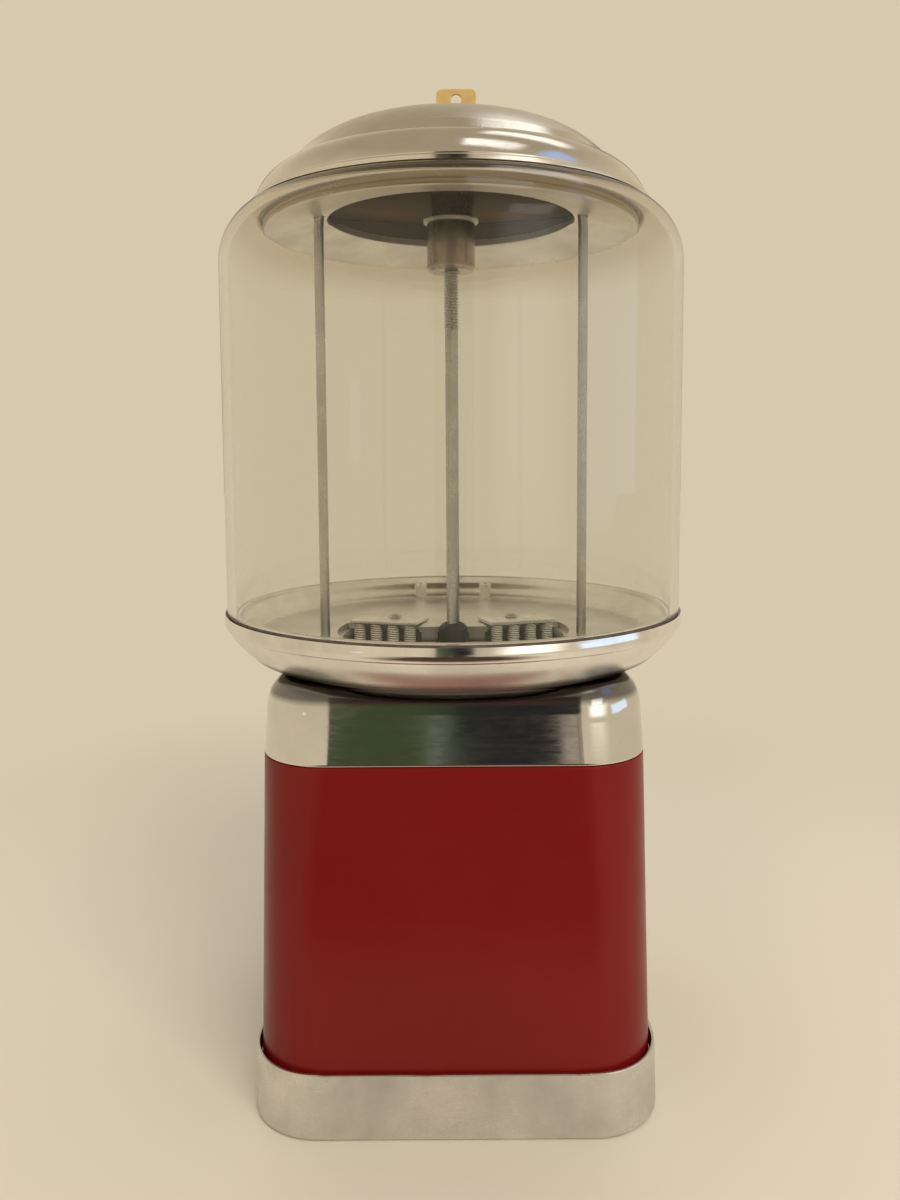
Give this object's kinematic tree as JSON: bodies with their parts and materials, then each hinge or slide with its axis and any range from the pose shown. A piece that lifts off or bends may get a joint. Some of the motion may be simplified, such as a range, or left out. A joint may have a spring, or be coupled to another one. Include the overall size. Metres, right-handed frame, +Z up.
{
  "type": "gumball_machine",
  "caption": "Counter-top gumball machine: cast base, red body with plated cap, hand-turned coin mechanism, dished tray with ball wheel, glass globe, domed locking lid with key",
  "frame": {"origin": "Centre of the base's foot plane, under the centre rod; z = 0 is the surface it stands on.", "axes": "+Z up along the centre rod; -Y is the front with the coin mechanism and the chute door; +X is the left of someone who stands behind it."},
  "size_m": [0.1944, 0.1944, 0.4056],
  "materials": {
    "cast_base": "satin cast aluminium with cloudy wear",
    "rod_steel": "bright zinc-plated steel rod with a rolled thread",
    "fixing_steel": "zinc-plated steel fixings",
    "red_lacquer": "deep red gloss lacquer on cast metal",
    "cap_chrome": "bright plated cap with fine rub marks",
    "tray_chrome": "plated dish with scuffs inside",
    "gasket_rubber": "thin dark rubber gasket",
    "globe_glass": "clear moulded glass",
    "ring_chrome": "plated pressed ring with a beaded edge",
    "lid_chrome": "bright plated pressing with fine scratches",
    "lock_steel": "nickel-plated lock cylinder",
    "white_nylon": "off-white nylon washer",
    "barrel_steel": "dark plated steel nut",
    "key_brass": "worn brass",
    "wheel_plastic": "black moulded plastic",
    "brush_chrome": "plated pressed plate",
    "spring_steel": "bright spring wire",
    "handle_chrome": "plated die casting",
    "mechanism_steel": "zinc-plated stamped steel",
    "mechanism_zinc": "die-cast zinc",
    "face_chrome": "plated die casting",
    "chute_plastic": "dark moulded chute"
  },
  "bodies": {
    "base": {"base_casting": "cast_base", "centre_rod": "rod_steel", "rod_washer": "fixing_steel", "rod_nut": "fixing_steel"},
    "cabinet": {"body_shell": "red_lacquer", "body_cap": "cap_chrome", "tray": "tray_chrome", "globe_gasket": "gasket_rubber", "globe": "globe_glass", "neck_ring": "ring_chrome", "side_rod_left": "rod_steel", "side_rod_right": "rod_steel", "side_rod_top_nut_left": "fixing_steel", "side_rod_top_nut_right": "fixing_steel", "side_rod_foot_nut_left": "fixing_steel", "side_rod_foot_nut_right": "fixing_steel", "wheel_cover": "tray_chrome", "brush_plate_left": "brush_chrome", "brush_plate_right": "brush_chrome", "brush_rivet_left": "fixing_steel", "brush_rivet_right": "fixing_steel", "brush_spring_left_1": "spring_steel", "brush_spring_left_2": "spring_steel", "brush_spring_left_3": "spring_steel", "brush_spring_left_4": "spring_steel", "brush_spring_right_1": "spring_steel", "brush_spring_right_2": "spring_steel", "brush_spring_right_3": "spring_steel", "brush_spring_right_4": "spring_steel", "mechanism_face": "face_chrome", "mechanism_screw_left": "fixing_steel", "mechanism_screw_right": "fixing_steel", "mechanism_frame": "mechanism_steel", "pawl_pin": "mechanism_steel", "ball_chute": "chute_plastic", "chute_hood": "face_chrome", "door_pin": "fixing_steel"},
    "lid": {"lid": "lid_chrome"},
    "lock": {"lock_cylinder": "lock_steel", "lock_washer": "white_nylon", "barrel_nut": "barrel_steel"},
    "key": {"key": "key_brass"},
    "handle": {"handle": "handle_chrome", "drive_shaft": "mechanism_steel", "coin_carrier": "mechanism_zinc", "ratchet_wheel": "mechanism_steel", "drive_pinion": "mechanism_steel"},
    "wheel": {"ball_wheel": "wheel_plastic"},
    "door": {"chute_door": "face_chrome"},
    "pawl": {"pawl": "mechanism_steel"}
  },
  "joints": [
    {"name": "body_lift", "type": "slide", "parent": "base", "child": "cabinet", "axis": [0, 0, 1], "range_m": [0, 0.06]},
    {"name": "lid_lift", "type": "slide", "parent": "cabinet", "child": "lid", "axis": [0, 0, 1], "range_m": [0, 0.08]},
    {"name": "lock_turn", "type": "hinge", "parent": "lid", "child": "lock", "pos_m": [0, 0, 0.353], "axis": [0, 0, 1], "continuous": true},
    {"name": "key_pull", "type": "slide", "parent": "lock", "child": "key", "axis": [0, 0, 1], "range_m": [0, 0.03]},
    {"name": "handle_turn", "type": "hinge", "parent": "cabinet", "child": "handle", "pos_m": [0, -0.0766, 0.13694], "axis": [0, 1, 0], "continuous": true},
    {"name": "wheel_turn", "type": "hinge", "parent": "cabinet", "child": "wheel", "pos_m": [0, 0, 0.1442], "axis": [0, 0, 1], "continuous": true},
    {"name": "door_swing", "type": "hinge", "parent": "cabinet", "child": "door", "pos_m": [0, -0.0948, 0.0767], "axis": [-1, 0, 0], "range_deg": [0, 75]},
    {"name": "pawl_lift", "type": "hinge", "parent": "cabinet", "child": "pawl", "pos_m": [0.021, -0.0714, 0.14944], "axis": [0, 1, 0], "range_deg": [0, 10]}
  ],
  "couplings": [
    {"joint": "wheel_turn", "follows": "handle_turn", "ratio": 0.2}
  ]
}
